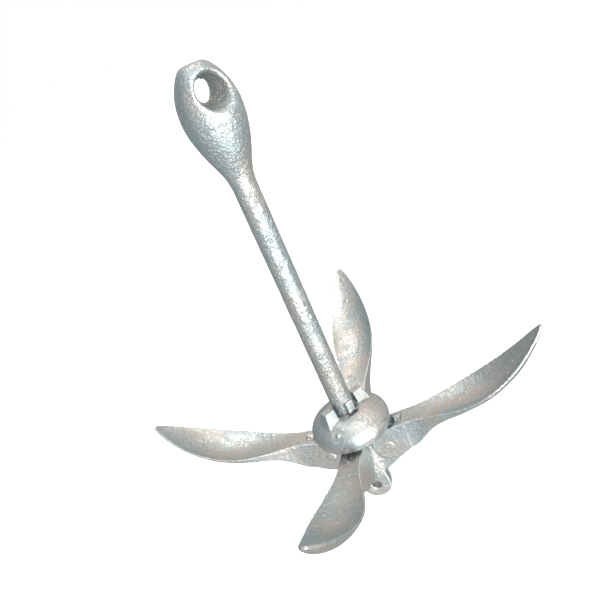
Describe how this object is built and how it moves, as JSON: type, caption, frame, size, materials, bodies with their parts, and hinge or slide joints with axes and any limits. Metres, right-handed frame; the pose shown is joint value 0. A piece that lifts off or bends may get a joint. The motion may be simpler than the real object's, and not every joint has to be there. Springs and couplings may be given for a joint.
{
  "type": "folding grapnel anchor",
  "caption": "Galvanised folding grapnel anchor: pear-headed shank with a shackle eye, sliding bell collar, four spoon flukes on rivets and a tripping eye.",
  "frame": {"origin": "centre of the tripping eye, on the shank's axis", "axes": "+Z along the shank towards the shackle eye, +X and +Y through two neighbouring flukes"},
  "size_m": [0.2662, 0.2549, 0.306],
  "materials": {
    "galvanised_iron": "hot-dip galvanised, satin with bright spangle",
    "galvanised_rivet": "galvanised, satin"
  },
  "bodies": {
    "shank": {"shank": "galvanised_iron", "shank_head": "galvanised_iron", "tripping_lug": "galvanised_iron"},
    "collar": {"collar": "galvanised_iron"},
    "fluke_1": {"fluke_1": "galvanised_iron", "rivet_1": "galvanised_rivet"},
    "fluke_2": {"fluke_2": "galvanised_iron", "rivet_2": "galvanised_rivet"},
    "fluke_3": {"fluke_3": "galvanised_iron", "rivet_3": "galvanised_rivet"},
    "fluke_4": {"fluke_4": "galvanised_iron", "rivet_4": "galvanised_rivet"}
  },
  "joints": [
    {"name": "collar_slide", "type": "slide", "parent": "shank", "child": "collar", "axis": [0, 0, 1], "range_m": [0, 0.15]},
    {"name": "fluke_1_fold", "type": "hinge", "parent": "shank", "child": "fluke_1", "pos_m": [0.0202, 0, 0.0348], "axis": [0, -1, 0], "range_deg": [0, 62]},
    {"name": "fluke_2_fold", "type": "hinge", "parent": "shank", "child": "fluke_2", "pos_m": [0, 0.0202, 0.0348], "axis": [1, 0, 0], "range_deg": [0, 55]},
    {"name": "fluke_3_fold", "type": "hinge", "parent": "shank", "child": "fluke_3", "pos_m": [-0.0202, 0, 0.0348], "axis": [0, 1, 0], "range_deg": [0, 66.5]},
    {"name": "fluke_4_fold", "type": "hinge", "parent": "shank", "child": "fluke_4", "pos_m": [0, -0.0202, 0.0348], "axis": [-1, 0, 0], "range_deg": [0, 63]}
  ],
  "couplings": [
    {"joint": "fluke_1_fold", "follows": "collar_slide", "rad_per_m": 7.214},
    {"joint": "fluke_2_fold", "follows": "collar_slide", "rad_per_m": 6.3995},
    {"joint": "fluke_3_fold", "follows": "collar_slide", "rad_per_m": 7.7376},
    {"joint": "fluke_4_fold", "follows": "collar_slide", "rad_per_m": 7.3303}
  ]
}
